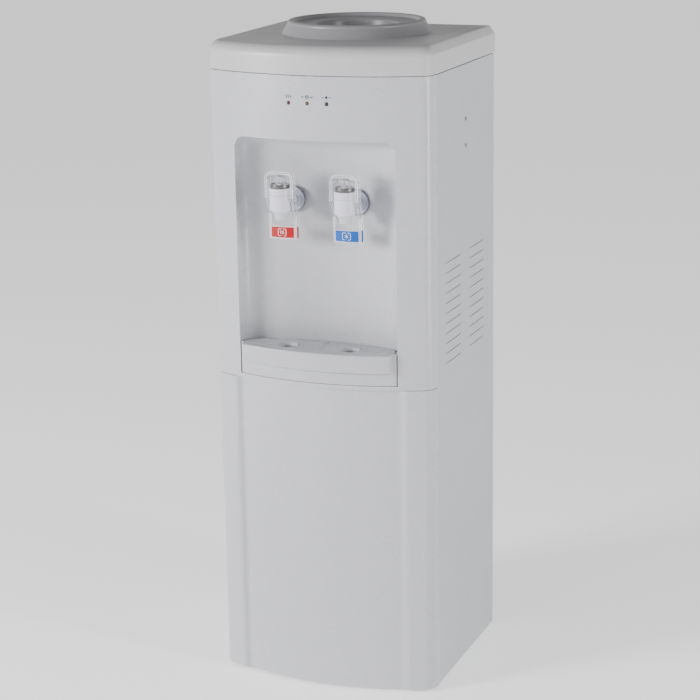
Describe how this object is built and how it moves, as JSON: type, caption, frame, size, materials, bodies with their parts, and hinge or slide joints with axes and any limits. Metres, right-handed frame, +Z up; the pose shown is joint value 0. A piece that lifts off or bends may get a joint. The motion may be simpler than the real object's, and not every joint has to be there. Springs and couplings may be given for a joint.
{
  "type": "floor-standing water dispenser",
  "caption": "Floor-standing top-load hot and cold water dispenser with bowed front panels, a tap bay with two cup-push taps, a pull-out drip tray and a bottle collar.",
  "frame": {"origin": "centre of the bounding box on the floor", "axes": "+X to the object's right seen from the front, +Y to its back, +Z up"},
  "size_m": [0.31, 0.304, 0.888],
  "materials": {
    "body_plastic": "fine satin grain",
    "cover_plastic": "high gloss",
    "collar_plastic": "satin",
    "tray_plastic": "satin",
    "painted_steel": "fine powder coat",
    "galvanised": "satin",
    "stainless": "satin",
    "tap_white": "gloss",
    "tap_clear": "clear moulded plastic, gloss",
    "tap_frosted": "translucent",
    "tap_dark": "satin",
    "label_red": "satin",
    "label_blue": "satin",
    "lens_red": "gloss",
    "lens_amber": "gloss",
    "lens_green": "gloss",
    "circuit_board": "satin",
    "black_plastic": "satin",
    "black_paint": "gloss",
    "rocker_red": "gloss",
    "rocker_green": "gloss",
    "rubber_black": "matte",
    "silicone": "translucent matte",
    "foam": "closed-cell foam",
    "copper": "drawn tube"
  },
  "bodies": {
    "cabinet": {"top_cover": "cover_plastic", "front_upper_panel": "body_plastic", "front_lower_panel": "body_plastic", "side_panel_left": "painted_steel", "side_panel_right": "painted_steel", "rear_panel": "painted_steel", "base_plate": "galvanised", "feet": "rubber_black", "led_board": "circuit_board", "led_hot": "lens_red", "led_power": "lens_amber", "led_cold": "lens_green", "hot_tap_body": "tap_white", "hot_tap_spout": "tap_frosted", "hot_tap_bonnet": "tap_dark", "hot_tap_spring": "stainless", "cold_tap_body": "tap_white", "cold_tap_spout": "tap_frosted", "cold_tap_bonnet": "tap_dark", "cold_tap_spring": "stainless", "tap_escutcheons": "tap_frosted", "tap_pivot_pins": "galvanised", "tap_lock_nuts": "tap_white", "cold_tank": "stainless", "cold_tank_foam": "foam", "cold_tank_lid": "tap_white", "evaporator_coil": "copper", "hot_tank": "stainless", "hot_tank_jacket": "foam", "heater_element": "stainless", "hot_thermostat": "black_plastic", "thermostat_body": "black_plastic", "compressor": "black_paint", "compressor_mounts": "rubber_black", "condenser_tube": "black_paint", "condenser_wires": "black_paint", "filter_drier": "copper", "refrigerant_tubes": "copper", "hot_hose": "silicone", "cold_hose": "silicone", "tank_shelf": "galvanised", "switch_bezel": "black_plastic", "power_gland": "black_plastic", "drain_pipe": "tap_white", "panel_screws": "galvanised"},
    "collar": {"bottle_collar": "collar_plastic", "bottle_funnel": "collar_plastic", "bottle_probe": "tray_plastic"},
    "hot_lever": {"hot_tap_lever": "tap_clear", "hot_tap_label": "label_red"},
    "cold_lever": {"cold_tap_lever": "tap_clear", "cold_tap_label": "label_blue"},
    "hot_stem": {"hot_tap_stem": "stainless"},
    "cold_stem": {"cold_tap_stem": "stainless"},
    "tray": {"drip_tray": "tray_plastic"},
    "grille": {"drip_grille": "tray_plastic"},
    "hot_rocker": {"switch_hot": "rocker_red"},
    "cold_rocker": {"switch_cold": "rocker_green"},
    "cold_dial": {"thermostat_knob": "black_plastic"},
    "drain_stopper": {"drain_plug": "rubber_black"}
  },
  "joints": [
    {"name": "hot_lever_pivot", "type": "hinge", "parent": "cabinet", "child": "hot_lever", "pos_m": [-0.045, -0.1325, 0.699], "axis": [1, 0, 0], "range_deg": [0, 14], "stiffness_Nm_per_rad": 0.6, "springref_deg": -11.46},
    {"name": "hot_stem_lift", "type": "slide", "parent": "cabinet", "child": "hot_stem", "axis": [0, 0, 1], "range_m": [0, 0.0016], "stiffness_N_per_m": 400, "springref_m": -0.004, "deforming": ["hot_tap_spring"]},
    {"name": "cold_lever_pivot", "type": "hinge", "parent": "cabinet", "child": "cold_lever", "pos_m": [0.045, -0.1325, 0.699], "axis": [1, 0, 0], "range_deg": [0, 14], "stiffness_Nm_per_rad": 0.6, "springref_deg": -11.46},
    {"name": "cold_stem_lift", "type": "slide", "parent": "cabinet", "child": "cold_stem", "axis": [0, 0, 1], "range_m": [0, 0.0016], "stiffness_N_per_m": 400, "springref_m": -0.004, "deforming": ["cold_tap_spring"]},
    {"name": "tray_slide", "type": "slide", "parent": "cabinet", "child": "tray", "axis": [0, -1, 0], "range_m": [0, 0.07]},
    {"name": "grille_lift", "type": "slide", "parent": "tray", "child": "grille", "axis": [0, 0, 1], "range_m": [0, 0.03]},
    {"name": "collar_lift", "type": "slide", "parent": "cabinet", "child": "collar", "axis": [0, 0, 1], "range_m": [0, 0.09]},
    {"name": "hot_switch_rock", "type": "hinge", "parent": "cabinet", "child": "hot_rocker", "pos_m": [0.076, 0.127, 0.76], "axis": [1, 0, 0], "range_deg": [-16, 0]},
    {"name": "cold_switch_rock", "type": "hinge", "parent": "cabinet", "child": "cold_rocker", "pos_m": [0.1, 0.127, 0.76], "axis": [1, 0, 0], "range_deg": [-16, 0]},
    {"name": "cold_dial_turn", "type": "hinge", "parent": "cabinet", "child": "cold_dial", "pos_m": [-0.09, 0.13, 0.76], "axis": [0, 1, 0], "range_deg": [0, 270]},
    {"name": "drain_stopper_pull", "type": "slide", "parent": "cabinet", "child": "drain_stopper", "axis": [0, 1, 0], "range_m": [0, 0.02]}
  ],
  "couplings": [
    {"joint": "hot_stem_lift", "follows": "hot_lever_pivot", "m_per_rad": 0.006},
    {"joint": "cold_stem_lift", "follows": "cold_lever_pivot", "m_per_rad": 0.006}
  ]
}
